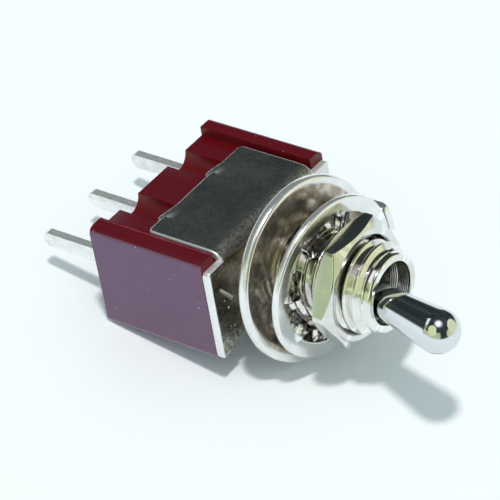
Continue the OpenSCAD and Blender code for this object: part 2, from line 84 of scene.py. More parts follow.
# Bushing: foot, thread, plain lip, bore with turned rings, keyway, slots of the stem and the trunnions
FOOT_L, FOOT_W, FOOT_EDGE = 2 * bushing_high[0], 5.0, 0.1
THREAD_R, THREAD_PITCH, THREAD_DEPTH, RUN_IN, RUN_OUT = 3.0, 0.75, 0.4, 0.2, 0.12
LIP_R, LIP_L, LIP_ROUND = 2.62, 0.45, 0.2
MOUTH_R, MOUTH_L, MOUTH_ROUND, WAIST_R, BALL_BORE_R = 2.05, 0.9, 0.12, 1.45, 2.0
RING_START, RING_PITCH, RING_DEPTH, RING_COUNT = 0.14, 0.13, 0.018, 11
KEY_FLOOR, KEY_HALF = 2.5, 0.85
STEM_SLOT_X, STEM_SLOT_Y, STEM_SLOT_TOP = 2.358, 1.1, 9.636
TRUNNION_SLOT_R, TRUNNION_SLOT_Y = 0.5, 2.3
# Lever: bat, ball, trunnions, bored stem and the plunger's way in it
PIVOT_Z, LEVER_ANGLE, LEVER_L = 14.0, 12.0, 10.198
TIP_R, NECK_R, BALL_R = 1.43, 0.82, 1.95
TRUNNION_R, TRUNNION_HALF, TRUNNION_EDGE = 0.45, 2.2, 0.08
STEM_R, STEM_L, STEM_EDGE, STEM_BORE_R, BORE_EDGE = 1.0, 8.0, 0.12, 0.65, 0.06
SPRING_ROOF, PLUNGER_TRAVEL = 1.4, 0.5
# Nut: hexagon with a conical chamfer, bore and countersink
NUT_AF, NUT_FACE_R, NUT_CHAMFER, NUT_EASE = 7.66, 3.65, 30, 0.06
NUT_BORE_R, NUT_SINK = 3.05, 0.25
# Washers: bore and drop on the bushing, then the locating washer with tab and tongue, and the lock washer
WASHER_BORE_R, WASHER_DROP, WASHER_EDGE = 3.32, 0.2, 0.08
LOCATING_R, LOCATING_T, LOCATING_Z, LOCATING_RIM = 6.07, 0.75, 11.61, 0.28
LOCATING_LEAN, LOCATING_TURN = (5.0, 6.2), 3.0
TAB_W, TAB_H, TAB_T, TAB_REACH, TAB_ROUND, TAB_EDGE, TAB_BEND = 2.2, 1.6, 0.5, 0.3, 0.5, 0.1, 0.25
TONGUE_W, TONGUE_R, TONGUE_ROOT, TONGUE_EDGE = 1.0, 2.82, 3.9, 0.1
LOCK_R, LOCK_T, LOCK_Z, LOCK_RIM, LOCK_RING = 5.43, 0.5, 13.47, 0.19, 1.1
LOCK_TEETH, LOCK_TWIST, TOOTH_EDGE, LOCK_LEAN = 8, 22.0, 0.07, (6.4, -1.4)


def cos_d(angle):
    """Cosine of an angle in degrees."""
    return math.cos(math.radians(angle))


def sin_d(angle):
    """Sine of an angle in degrees."""
    return math.sin(math.radians(angle))


def turns(columns, extra=()):
    """Angles of the columns of a polar grid, in degrees, from 0 to 360 with both ends."""
    even = np.linspace(0, 360, columns + 1)
    return np.unique(np.round(np.concatenate([even, np.mod(np.array(extra, float), 360)]), 6))


def polar_row(angles, r, z):
    """One row of a polar grid: radius and height are numbers or one value a column."""
    a = np.radians(angles)
    r, z = np.broadcast_to(r, a.shape), np.broadcast_to(z, a.shape)
    return np.stack([r * np.cos(a), r * np.sin(a), z], axis=1)


def grid_part(rows, loop=True, caps=False):
    """Points and faces of a grid of rows; loop joins the last row to the first, caps closes the sides."""
    grid = np.asarray(rows, float)
    count, cols = grid.shape[:2]
    faces = []
    for i in range(count if loop else count - 1):
        a, b = i * cols, (i + 1) % count * cols
        faces += [(a + j, a + j + 1, b + j + 1, b + j) for j in range(cols - 1)]
    if caps:
        faces.append(tuple(i * cols for i in range(count)))
        faces.append(tuple(i * cols + cols - 1 for i in reversed(range(count))))
    return grid.reshape(-1, 3), faces


def bar_of(rows):
    """Closed bar through rows that are closed loops, with a flat face at each end."""
    points, faces = grid_part([list(row) + [row[0]] for row in rows], loop=False)
    cols = len(rows[0]) + 1
    faces.append(tuple(range(cols - 1)))
    faces.append(tuple((len(rows) - 1) * cols + j for j in reversed(range(cols - 1))))
    return points, faces


def revolved(outline, angles, loop=True):
    """Surface that an outline of (radius, height) sweeps about Z; loop joins the outline's ends."""
    return grid_part([polar_row(angles, r, z) for r, z in outline], loop)


def placed(part, matrix):
    """Part moved by a matrix."""
    points, faces = part
    m = np.array(matrix)
    return points @ m[:3, :3].T + m[:3, 3], faces


def arc(centre, r, start, end, steps):
    """Points of an arc in the (radius, height) plane, angles in degrees."""
    return [
        (centre[0] + r * cos_d(a), centre[1] + r * sin_d(a))
        for a in np.linspace(start, end, steps + 1)
    ]


def round_section(r_in, r_out, low, high, r_rim, r_bore, steps=4):
    """Outline of a ring's section with round corners, larger ones at the rim."""
    return (
        arc((r_out - r_rim, low + r_rim), r_rim, -90, 0, steps)
        + arc((r_out - r_rim, high - r_rim), r_rim, 0, 90, steps)
        + arc((r_in + r_bore, high - r_bore), r_bore, 90, 180, steps)
        + arc((r_in + r_bore, low + r_bore), r_bore, 180, 270, steps)
    )


def finish_mesh(mesh, weld, flat_angle=None):
    """Welds a mesh, drops empty faces and turns all its faces outwards."""
    bm = bmesh.new()
    bm.from_mesh(mesh)
    bmesh.ops.remove_doubles(bm, verts=bm.verts, dist=weld)
    bmesh.ops.dissolve_degenerate(bm, edges=bm.edges, dist=weld)
    if flat_angle:
        bmesh.ops.dissolve_limit(
            bm, angle_limit=math.radians(flat_angle), verts=bm.verts, edges=bm.edges
        )
    bmesh.ops.recalc_face_normals(bm, faces=bm.faces)
    bm.to_mesh(mesh)
    bm.free()


def piece(name, mesh, body, nodes, material, bevel=0.0, segments=2, bevel_angle=32, sharp=32):
    """Puts a mesh into the scene as a piece that rides on a body and stands for CAD nodes."""
    mesh.materials.clear()
    mesh.materials.append(material)
    mesh.shade_smooth()
    mesh.set_sharp_from_angle(angle=math.radians(sharp))
    obj = bpy.data.objects.new(name, mesh)
    bpy.context.scene.collection.objects.link(obj)
    if bevel:
        edge = obj.modifiers.new("edges", "BEVEL")
        edge.width = bevel * MM
        edge.segments = segments
        edge.limit_method = "ANGLE"
        edge.angle_limit = math.radians(bevel_angle)
        edge.harden_normals = True
        edge.miter_outer = "MITER_ARC"
    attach(obj, body)
    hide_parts(*nodes)
    return obj


def sheared(obj, material, is_cut):
    """Gives a piece's cut faces the finish of sheared metal, and keeps its flat faces flat."""
    obj.data.materials.append(material)
    for face in obj.data.polygons:
        if is_cut(np.array(face.center) / MM, face.normal):
            face.material_index = 1
    normals = obj.modifiers.new("normals", "WEIGHTED_NORMAL")
    normals.keep_sharp = True


def built(name, parts):
    """One mesh from several closed parts, each welded by itself."""
    bm = bmesh.new()
    for points, faces in parts:
        part = bpy.data.meshes.new(name + "_part")
        part.from_pydata((np.asarray(points) * MM).tolist(), [], faces)
        finish_mesh(part, weld=2e-7)
        bm.from_mesh(part)
        bpy.data.meshes.remove(part)
    mesh = bpy.data.meshes.new(name)
    bm.to_mesh(mesh)
    bm.free()
    return mesh


def refined(name):
    """Copy of a CAD node's mesh with its flat faces made whole."""
    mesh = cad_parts[name].data.copy()
    mesh.name = name + "_mesh"
    finish_mesh(mesh, weld=1e-7, flat_angle=0.5)
    return mesh


# Materials


def node(tree, kind, inputs=None, **settings):
    """New shader node, its inputs set to values or linked to sockets."""
    made = tree.nodes.new(kind)
    for key, value in settings.items():
        setattr(made, key, value)
    for key, value in (inputs or {}).items():
        if isinstance(value, bpy.types.NodeSocket):
            tree.links.new(value, made.inputs[key])
        else:
            made.inputs[key].default_value = value
    return made


def noise(tree, scale, detail=4.0, stretch=(1, 1, 1), rough=0.55):
    """Noise over the part's own coordinates, scale in features a metre."""
    where = node(tree, "ShaderNodeTexCoord").outputs["Object"]
    where = node(tree, "ShaderNodeMapping", {"Vector": where, "Scale": stretch}).outputs[0]
    made = node(
        tree, "ShaderNodeTexNoise",
        {"Vector": where, "Scale": scale, "Detail": detail, "Roughness": rough},
    )
    return made.outputs["Fac"]


def spread(tree, value, low, high, a, b, smooth=False):
    """Maps a value from low..high to a..b, clamped."""
    made = node(
        tree, "ShaderNodeMapRange",
        {"Value": value, "From Min": low, "From Max": high, "To Min": a, "To Max": b},
        interpolation_type="SMOOTHSTEP" if smooth else "LINEAR",
    )
    return made.outputs["Result"]


def mixed(tree, factor, a, b):
    """Colour between a and b."""
    made = node(tree, "ShaderNodeMix", {"Factor": factor}, data_type="RGBA")
    for key, value in (("A", a), ("B", b)):
        socket = next(s for s in made.inputs if s.name == key and s.type == "RGBA")
        if isinstance(value, bpy.types.NodeSocket):
            tree.links.new(value, socket)
        else:
            socket.default_value = (*value, 1)
    return next(s for s in made.outputs if s.type == "RGBA")


def bumped(tree, height, depth, strength=1.0, under=None):
    """Bump of a height from 0 to 1 that is so many millimetres deep."""
    inputs = {"Height": height, "Distance": depth * MM, "Strength": strength}
    if under:
        inputs["Normal"] = under
    return node(tree, "ShaderNodeBump", inputs).outputs["Normal"]


def maths(tree, kind, *values):
    """Result of one sum or function of values."""
    return node(tree, "ShaderNodeMath", dict(enumerate(values)), operation=kind).outputs[0]


def times(tree, *values):
    """Product of values."""
    made = values[0]
    for value in values[1:]:
        made = maths(tree, "MULTIPLY", made, value)
    return made


def distance(tree, x, y):
    """Length of the vector with these coordinates."""
    return maths(tree, "SQRT", maths(tree, "ADD", times(tree, x, x), times(tree, y, y)))


def dot(tree, vector, direction):
    """How far a vector reaches in a direction."""
    made = node(tree, "ShaderNodeVectorMath", {0: vector, 1: direction}, operation="DOT_PRODUCT")
    return made.outputs["Value"]


def spots(tree, scale, detail, low, high):
    """1 where a noise lies above high, 0 where it lies below low."""
    return spread(tree, noise(tree, scale, detail), low, high, 0.0, 1.0)


def places(tree):
    """The three coordinates of a point of the part, in metres."""
    where = node(tree, "ShaderNodeTexCoord").outputs["Object"]
    return node(tree, "ShaderNodeSeparateXYZ", {0: where}).outputs


def places_from(tree, centre):
    """Coordinates in X and Y from a centre in millimetres, in metres."""
    x, y = places(tree)[:2]
    return maths(tree, "SUBTRACT", x, centre[0] * MM), maths(tree, "SUBTRACT", y, centre[1] * MM)


def between(tree, value, low, high, soft):
    """1 where a value in metres lies between two limits in millimetres, with soft ends."""
    rise = spread(tree, value, (low - soft) * MM, (low + soft) * MM, 0.0, 1.0, smooth=True)
    fall = spread(tree, value, (high - soft) * MM, (high + soft) * MM, 1.0, 0.0, smooth=True)
    return times(tree, rise, fall)


def surface(name, **sockets):
    """New material with the shader's constant sockets set."""
    made = bpy.data.materials.new(name)
    made.use_nodes = True
    shader = made.node_tree.nodes["Principled BSDF"]
    for key, value in sockets.items():
        shader.inputs[key.replace("_", " ")].default_value = value
    return made, made.node_tree, shader


def metal(
    name, bright, dull, rough, grain=(1, 1, 1), stain=700, fine=9000, fine_depth=0.0012,
    wave=0.0, scratch=0.0, metallic=1.0, marks_and_painted_light=None,
):
    """Plated metal: stains in colour and gloss, a fine grain, slow waves, fine scratches, and marks with
    painted shade.
    """
    made, tree, shader = surface(name, Metallic=metallic)
    stains = noise(tree, stain, 5.0)
    worn = node(tree, "ShaderNodeNewGeometry").outputs["Pointiness"]
    colour = mixed(tree, spread(tree, stains, 0.35, 0.7, 0.0, 1.0), bright, dull)
    edge = tuple(min(1.0, 1.12 * c) for c in bright)
    colour = mixed(tree, spread(tree, worn, 0.52, 0.6, 0.0, 1.0), colour, edge)
    fine_noise = noise(tree, fine, 3.0, grain)
    gloss = times(tree, stains, fine_noise)
    gloss = spread(tree, gloss, 0.15, 0.4, rough[0], rough[1])
    normal = bumped(tree, fine_noise, fine_depth)
    if marks_and_painted_light:
        colour, gloss, normal = marks_and_painted_light(tree, colour, gloss, normal)
    tree.links.new(colour, shader.inputs["Base Color"])
    tree.links.new(gloss, shader.inputs["Roughness"])
    if wave:
        normal = bumped(tree, noise(tree, 420, 2.0), wave, under=normal)
    if scratch:
        lines = noise(tree, 1500, 2.0, (1, 14, 1))
        normal = bumped(tree, spread(tree, lines, 0.62, 0.7, 0.0, 1.0), scratch, under=normal)
    tree.links.new(normal, shader.inputs["Normal"])
    return made


def plastic(name, colours, rough, specks=None, grain=5000, grain_depth=0.002, marks_and_painted_light=None, **sockets):
    """Moulded plastic: cloudy colour, uneven gloss, fine grain, a few dust specks, and marks with painted
    highlights.
    """
    made, tree, shader = surface(name, **sockets)
    clouds = noise(tree, 500, 5.0)
    colour = mixed(tree, spread(tree, clouds, 0.35, 0.65, 0.0, 1.0), *colours)
    if specks:
        colour = mixed(tree, spots(tree, 2900, 1.0, 0.76, 0.79), colour, specks)
    if marks_and_painted_light:
        colour = marks_and_painted_light(tree, colour)
    tree.links.new(colour, shader.inputs["Base Color"])
    tree.links.new(spread(tree, clouds, 0.3, 0.7, *rough), shader.inputs["Roughness"])
    normal = bumped(tree, noise(tree, grain, 4.0), grain_depth)
    normal = bumped(tree, noise(tree, 260, 2.0), 0.012, under=normal)
    tree.links.new(normal, shader.inputs["Normal"])
    return made


def case_highlights_and_specks(tree, colour):
    """Painted highlights: paler lines along one rib's inner edge and both ribs' lower edges; dust specks on
    the ends.
    """
    x, y = places(tree)[:2]
    out_x, out_y = maths(tree, "ABSOLUTE", x), maths(tree, "ABSOLUTE", y)
    # Painted highlight: a pale line along the near rib's inner top edge, broken up by noise
    inner = between(tree, x, -RIB_INNER - 0.15, -RIB_INNER - 0.08, 0.012)
    top = between(tree, out_y, case_high[1] - 0.015, FAR, 0.005)
    glint_strength = spread(tree, noise(tree, 1400, 3.0), 0.35, 0.6, 0.35, 1.0)
    colour = mixed(tree, times(tree, inner, top, glint_strength), colour, (0.34, 0.09, 0.11))
    end = between(tree, out_x, case_high[0] - 0.05, FAR, 0.02)
    dots = spots(tree, 3300, 1.0, 0.755, 0.78)
    colour = mixed(tree, times(tree, end, dots), colour, (0.34, 0.26, 0.34))
    # Painted highlight: a pale lilac line along the lower edges at both ends of the case
    low = between(tree, y, case_low[1] + 0.2 * RIB_ROUND, case_low[1] + 0.5 * RIB_ROUND, 0.02)
    outer = between(tree, out_x, case_high[0] - RIB_ROUND, FAR, 0.02)
    return mixed(tree, times(tree, outer, low), colour, (0.95, 0.74, 0.92))


# Dents in the near end of the front plate: a scratch with its middle, its direction and half its length
# and width, then pits with their radii
SCRATCH_AT, SCRATCH_ALONG, SCRATCH_HALF, SCRATCH_WIDE = (-5.243, 0.722), (0.613, -0.79), 0.85, 0.09
PITS = (((-5.28, -0.3), 0.1), ((-5.55, 0.42), 0.05), ((-5.35, -1.75), 0.06), ((-5.0, -1.9), 0.05))


def dents(tree):
    """1 in a scratch and a few pits of the front plate, 0 round them."""
    x, y = places_from(tree, SCRATCH_AT)
    a, b = SCRATCH_ALONG
    length = maths(tree, "MULTIPLY_ADD", x, a, times(tree, y, b))
    width = maths(tree, "MULTIPLY_ADD", y, a, times(tree, x, -b))
    inside = between(tree, length, -SCRATCH_HALF, SCRATCH_HALF, 0.1)
    made = times(tree, inside, between(tree, width, -SCRATCH_WIDE, SCRATCH_WIDE, 0.07))
    for centre, r in PITS:
        away = distance(tree, *places_from(tree, centre))
        pit = spread(tree, away, 0.5 * r * MM, 1.2 * r * MM, 1.0, 0.0, smooth=True)
        made = maths(tree, "MAXIMUM", made, pit)
    return made


def frame_marks_and_shade(tree, colour, gloss, normal):
    """Tarnish with painted shade near one end of the front plate, specks and dents, and the stretched grain
    of the bends, darkened as painted shade.
    """
    x, y, z = places(tree)
    plate = between(tree, z, plate_top - 0.05, FAR, 0.03)
    bend = between(tree, z, plate_top - BEND_R + 0.05, FAR, 0.2)
    bend = times(tree, bend, maths(tree, "SUBTRACT", 1.0, plate))
    # Painted shade: the plate's tarnish is dark and brown near its -X end only and fades out towards +X
    near = spread(tree, x, 2 * MM, 4.5 * MM, 1.0, 0.0, smooth=True)
    tarnish_and_shade = mixed(tree, spots(tree, 900, 4.0, 0.4, 0.62), (0.3, 0.27, 0.23), (0.46, 0.42, 0.36))
    tarnish_and_shade = mixed(tree, spots(tree, 6500, 2.0, 0.62, 0.68), tarnish_and_shade, (0.78, 0.75, 0.68))
    foot = spread(tree, y, -2.9 * MM, -1.4 * MM, 1.0, 0.0, smooth=True)
    grit = times(tree, spots(tree, 4200, 3.0, 0.48, 0.58), foot)
    tarnish_and_shade = mixed(tree, grit, tarnish_and_shade, (0.8, 0.78, 0.72))
    dent = dents(tree)
    tarnish_and_shade = mixed(tree, dent, tarnish_and_shade, (0.95, 0.92, 0.85))
    # The bends' grain, darkened as painted shade
    bend_grain_shade = spread(tree, noise(tree, 5200, 4.0), 0.42, 0.62, 0.5, 1.0)
    colour = mixed(tree, times(tree, bend, bend_grain_shade), colour, (0.19, 0.195, 0.18))
    colour = mixed(tree, times(tree, plate, near), colour, tarnish_and_shade)
    dent = times(tree, plate, dent)
    gloss = maths(tree, "MULTIPLY_ADD", bend, 0.16, gloss)
    gloss = maths(tree, "MULTIPLY_ADD", dent, 0.3, gloss)
    normal = bumped(tree, times(tree, noise(tree, 5200, 3.0), bend), 0.035, under=normal)
    return colour, gloss, bumped(tree, dent, -0.09, under=normal)


def painted_shade_inside(r_shade, dark, light, centre=(0, 0), scale=1500, soft=0.15, rough=0.0):
    """Function that paints shade inside a radius round a centre, where the metal lies in a hollow or under
    a neighbour.
    """
    def marks_and_painted_light(tree, colour, gloss, normal):
        """Colour, gloss and normal with the painted shade."""
        shade_mask = between(tree, distance(tree, *places_from(tree, centre)), 0, r_shade, soft)
        tan = mixed(tree, spots(tree, scale, 4.0, 0.45, 0.62), dark, light)
        colour = mixed(tree, shade_mask, colour, tan)
        return colour, maths(tree, "MULTIPLY_ADD", shade_mask, rough, gloss), normal

    return marks_and_painted_light


NICKEL, NICKEL_DULL = (0.86, 0.87, 0.88), (0.75, 0.72, 0.66)
CASE_COLOURS = ((0.14, 0.0028, 0.005), (0.122, 0.0024, 0.0044))
# Painted shade inside the bushing's bore
BORE_SHADE = ((0.16, 0.145, 0.12), (0.34, 0.31, 0.27))
# Painted shade, brown, on the large washer's face under the lock washer
LOCATING_SHADE = ((0.38, 0.33, 0.27), (0.64, 0.57, 0.48))
# Painted shade among the lock washer's teeth, near black in patches
LOCK_SHADE = ((0.03, 0.028, 0.028), (0.9, 0.87, 0.8))
# Painted shade in the nut's bore and countersink
NUT_SHADE = ((0.03, 0.028, 0.025), (0.14, 0.12, 0.1))

case_plastic = plastic(
    "case_plastic", CASE_COLOURS, (0.14, 0.22), (0.3, 0.16, 0.17), marks_and_painted_light=case_highlights_and_specks,
    IOR=1.9, Specular_IOR_Level=0.8, Specular_Tint=(0.4, 0.61, 1.0, 1),
)
case_recess = plastic("case_recess", CASE_COLOURS, (0.3, 0.45), IOR=1.5, Specular_IOR_Level=0.35)
seal_resin = plastic(
    "seal_resin", ((0.02, 0.016, 0.013), (0.03, 0.024, 0.02)), (0.18, 0.3), grain=2500, grain_depth=0.006,
)
frame_plate = metal(
    "frame_plate", (0.7, 0.71, 0.68), (0.6, 0.61, 0.58), (0.22, 0.36), grain=(1, 1, 5), wave=0.012,
    scratch=0.002, marks_and_painted_light=frame_marks_and_shade,
)
bushing_plate = metal(
    "bushing_plate", (0.84, 0.84, 0.83), (0.72, 0.7, 0.63), (0.07, 0.16), grain=(1, 1, 6),
    marks_and_painted_light=painted_shade_inside(1.98, *BORE_SHADE, rough=0.1),
)
lever_chrome = metal("lever_chrome", (0.74, 0.76, 0.79), (0.67, 0.69, 0.72), (0.07, 0.12), stain=400)
locating_plate = metal(
    "locating_plate", NICKEL, NICKEL_DULL, (0.12, 0.22), wave=0.03, stain=420, fine_depth=0.002,
    metallic=0.86, marks_and_painted_light=painted_shade_inside(5.5, *LOCATING_SHADE, (-0.24, 0.03), soft=0.07),
)
lock_plate = metal(
    "lock_plate", NICKEL, NICKEL_DULL, (0.12, 0.24), wave=0.01, stain=520, fine_depth=0.002,
    marks_and_painted_light=painted_shade_inside(4.35, *LOCK_SHADE, (0, -WASHER_DROP), scale=2400, soft=0.06),
)
sheared_edge = metal(
    "sheared_edge", (0.9, 0.91, 0.92), (0.82, 0.82, 0.81), (0.26, 0.36), stain=600, fine=4000,
    fine_depth=0.0008, metallic=0.62,
)
rim_edge = metal(
    "rim_edge", (0.9, 0.9, 0.9), (0.8, 0.79, 0.76), (0.14, 0.28), grain=(1, 1, 0.12), stain=1500, fine=7000,
    fine_depth=0.002, metallic=0.76,
)
nut_plate = metal(
    "nut_plate", (0.78, 0.79, 0.78), (0.66, 0.65, 0.61), (0.1, 0.2), wave=0.008,
    marks_and_painted_light=painted_shade_inside(3.24, *NUT_SHADE, soft=0.1, rough=0.1),
)
terminal_silver = metal(
    "terminal_silver", (0.93, 0.94, 0.93), (0.78, 0.78, 0.76), (0.26, 0.5), stain=1800, fine=5000,
    wave=0.01, scratch=0.004, metallic=0.75,
)
spring_steel = metal("spring_steel", (0.6, 0.62, 0.65), (0.5, 0.52, 0.55), (0.2, 0.3))
contact_bronze = metal(
    "contact_bronze", (0.8, 0.46, 0.24), (0.66, 0.36, 0.18), (0.18, 0.3), grain=(5, 1, 1),
)
contact_silver = metal("contact_silver", (0.86, 0.86, 0.88), (0.72, 0.72, 0.76), (0.15, 0.28))
plunger_plastic = plastic("plunger_plastic", ((0.85, 0.83, 0.74), (0.8, 0.78, 0.68)), (0.35, 0.45))

# Case, seal and pins: the CAD forms with moulded and stamped edges

case_moulding = piece(
    "case_moulding", refined("case"), "switch_body", ["case"], case_plastic,
    bevel=0.1, segments=3,
)
case_moulding.data.materials.append(case_recess)
for face in case_moulding.data.polygons:
    between_ribs = abs(face.center.x) < (RIB_INNER + 0.11) * MM
    if face.normal.z > 0.25 or (between_ribs and abs(face.normal.x) > 0.25):
        face.material_index = 1
piece(
    "seal_pool", refined("terminal_seal"), "switch_body", ["terminal_seal"], seal_resin,
    bevel=0.05,
)
for terminal in ("common_terminal", "end_terminal_a", "end_terminal_b"):
    piece(
        terminal + "_pin", refined(terminal), "switch_body", [terminal], terminal_silver,
        bevel=0.07, segments=3,
    )

# Frame: folded sheet with rolled edges, in closed parts that meet flush: two wings, two ends and the middle


def pressed_lip(x, y, z):
    """Point of a wing where a lip is pressed into a crimping groove, as in the part's source."""
    low = min(max((z - WING_END) / CRIMP_H, 0.0), 1.0)
    middle = math.copysign(LIP_X, x)
    share = (1 - sin_d(90 * (x - middle) / LIP_HALF)) / 2
    return x, y - CRIMP_DEPTH * share * (1 + cos_d(180 * low)) / 2, z - CRIMP_REACH * share * (1 - low)


def rolled_edge(half, roll, angles):
    """Stations of (distance from the middle, inset) round a rolled edge."""
    return [(half - roll * (1 - sin_d(a)), roll * (1 - cos_d(a))) for a in angles]


def wing_section(free_end, inset):
    """Section of a wing and its bend in (y, z); inset thins it where its end edges are rolled."""
    top, y0, roll = plate_top, WING_Y - BEND_R, WING_ROLL
    angles = np.linspace(0, 90, 15)
    fades = [inset * min(1.0, max(0.0, (a - 15) / 30)) for a in angles]

    def bend(r, way):
        """Points of the bend at a radius, which the inset changes in one way."""
        radii = [r + way * fade for fade in fades]
        return [(y0 + r * sin_d(a), top - BEND_R + r * cos_d(a)) for a, r in zip(angles, radii)]

    outer, inner = bend(BEND_R, -1), bend(BEND_R - SHEET_T, 1)
    low, lip_top = free_end + inset + roll, WING_END + CRIMP_H + 0.1
    levels = [8.2, 7.0, 5.6] + list(np.linspace(lip_top, low, 9))
    y_out, y_in = WING_Y - inset, WING_Y - SHEET_T + inset
    return (
        [(FLAT_Y, top), (FLAT_Y + 0.05, top)] + outer + [(y_out, z) for z in levels]
        + arc((y_out - roll, low), roll, 0, -90, 5)[1:] + arc((y_in + roll, low), roll, -90, -180, 5)
        + [(y_in, z) for z in reversed(levels[:-1])] + inner[::-1]
        + [(FLAT_Y + 0.05, top - SHEET_T), (FLAT_Y, top - SHEET_T)]
    )


def wing_part(side):
    """Wing on one side of the case, with lips sheared at their -X ends."""
    ends = rolled_edge(WING_HALF, WING_ROLL, (90, 70, 50, 30, 12, 0))
    ends += [(WING_HALF - d, 0.0) for d in (0.14, 0.18, 0.22, 0.27, 0.32, 0.36, 0.4, 0.45)]
    stations = [(-x, inset, 0) for x, inset in ends]
    for middle in (-LIP_X, LIP_X):
        across = middle + LIP_HALF * np.linspace(-1, 1, 13)
        stations += [(across[0], 0.0, 0)] + [(x, 0.0, 1) for x in across]
    stations += [(x, inset, 0) for x, inset in reversed(ends)]
    rows = []
    for x, inset, pressed in stations:
        short = max(0.0, WING_CORNER - (WING_HALF - abs(x)))
        free_end = WING_END + WING_CORNER - math.sqrt(WING_CORNER ** 2 - short ** 2)
        row = [(x, y, z) for y, z in wing_section(free_end, inset)]
        if pressed:
            row = [pressed_lip(*point) for point in row]
        rows.append([(x, side * y, z) for x, y, z in row])
    return bar_of(rows)


def plate_end(side):
    """End of the front plate, which stands over the end rib of the case."""
    stations = [(WING_HALF, 0.0), (WING_HALF + 0.1, 0.0)]
    corner_from, corner_to = PLATE_HALF - PLATE_CORNER - 0.1, PLATE_HALF - PLATE_ROLL - 0.04
    stations += [(x, 0.0) for x in np.linspace(corner_from, corner_to, 5)]
    stations += rolled_edge(PLATE_HALF, PLATE_ROLL, (0, 12, 25, 38, 50, 62, 74, 84, 90))
    rows = []
    for x, inset in stations:
        short = max(0.0, PLATE_CORNER - (PLATE_HALF - x))
        cut = PLATE_CORNER - math.sqrt(max(0.0, PLATE_CORNER ** 2 - short ** 2))
        low, high = PLATE_Y[0] + cut, PLATE_Y[1] - cut
        top, under, r = plate_top - inset, plate_top - SHEET_T + 0.3 * inset, PLATE_EDGE
        loop = (
            arc((high - r, top - r), r, 90, 0, 4) + arc((high - r, under + r), r, 0, -90, 4)
            + arc((low + r, under + r), r, -90, -180, 4) + arc((low + r, top - r), r, 180, 90, 4)
        )
        rows.append([(side * x, y, z) for y, z in loop])
    return bar_of(rows)


def plate_middle():
    """Flat middle of the front plate, with the hole that the bushing fills."""
    corner = math.degrees(math.atan2(FLAT_Y, WING_HALF))
    angles = turns(96, [corner, 180 - corner, 180 + corner, -corner])
    across = np.abs(np.cos(np.radians(angles))) + 1e-9
    along = np.abs(np.sin(np.radians(angles))) + 1e-9
    edge = np.minimum(WING_HALF / across, FLAT_Y / along)
    hole = np.minimum(THREAD_R, (FLAT_Y - 0.05) / along)
    low, high = plate_top - SHEET_T, plate_top
    return revolved(((hole, high), (edge, high), (edge, low), (hole, low)), angles)


def frame_cut(at, normal):
    """True on the sheet's sheared and rolled edges."""
    if abs(at[0]) > WING_HALF + 0.001:
        return abs(at[0]) > PLATE_HALF - PLATE_ROLL or abs(normal.y) > 0.3
    at_end = abs(at[0]) > WING_HALF - WING_ROLL and abs(normal.z) < 0.95
    return at_end or abs(normal.x) > 0.7 or (normal.z < -0.4 and at[2] < WING_END + WING_CORNER + WING_ROLL)


frame_parts = [wing_part(1), wing_part(-1), plate_end(1), plate_end(-1), plate_middle()]
frame_sheet = piece(
    "frame_sheet", built("frame_sheet", frame_parts), "switch_body", ["frame"], frame_plate,
    sharp=35,
)
sheared(frame_sheet, sheared_edge, frame_cut)

# Bushing: foot, helical thread with keyway, round lip and hourglass bore, in one polar grid

KEY_SIDE = math.degrees(math.asin(KEY_HALF / (KEY_FLOOR + 0.2)))
FOOT_CORNER = math.degrees(math.atan2(FOOT_W, FOOT_L))
bushing_turns = turns(
    180,
    [s * a for s in (-1, 1) for a in (KEY_SIDE, KEY_SIDE + 0.4, FOOT_CORNER, 180 - FOOT_CORNER)],
)
TURN_COS = np.abs(np.cos(np.radians(bushing_turns))) + 1e-9
TURN_SIN = np.abs(np.sin(np.radians(bushing_turns))) + 1e-9
foot_edge = np.minimum(FOOT_L / 2 / TURN_COS, FOOT_W / 2 / TURN_SIN)
from_key = np.abs(np.mod(bushing_turns + 180, 360) - 180)
key_edge = np.where(from_key <= KEY_SIDE + 0.1, KEY_FLOOR / TURN_COS, FAR)


def keyed(r):
    """Radius of the bushing's outside with the keyway cut."""
    return np.minimum(r, key_edge)


def bored(r, z):
    """Radius of the bore with the slots of the stem and the trunnions."""
    over = max(z - PIVOT_Z, 0.0)
    half = math.sqrt(max(TRUNNION_SLOT_R ** 2 - over ** 2, 0.0))
    slot = np.minimum(half / TURN_COS, TRUNNION_SLOT_Y / TURN_SIN)
    if z < STEM_SLOT_TOP:
        slot = np.maximum(slot, np.minimum(STEM_SLOT_X / TURN_COS, STEM_SLOT_Y / TURN_SIN))
    return np.maximum(r, slot)


def thread_outline(start, lip_z):
    """Outline that follows the helix up to the lip, so that each crest and root is one smooth line."""
    phases = [0.0, 0.06, 0.12, 0.22, 0.33, 0.44, 0.5, 0.56, 0.67, 0.78, 0.88, 0.94]
    root_flat, flank = 0.1, 0.68
    end = lip_z - (THREAD_R - LIP_R)
    outline = []
    for turn in range(-1, int((lip_z - start) / THREAD_PITCH) + 1):
        for phase in phases:
            z = start + THREAD_PITCH * (turn + phase + bushing_turns / 360)
            z = np.clip(z, start, lip_z)
            fade = np.clip((z - start) / RUN_IN, 0, 1) * np.clip((lip_z - z) / RUN_OUT, 0, 1)
            root = 1 - min(1.0, max(0.0, (abs(2 * phase - 1) - root_flat) / flank))
            r = THREAD_R - THREAD_DEPTH * root * fade
            slope = THREAD_R - (THREAD_R - LIP_R) * np.clip((z - end) / (lip_z - end), 0, 1)
            outline.append((keyed(np.minimum(r, slope)), z))
    return outline


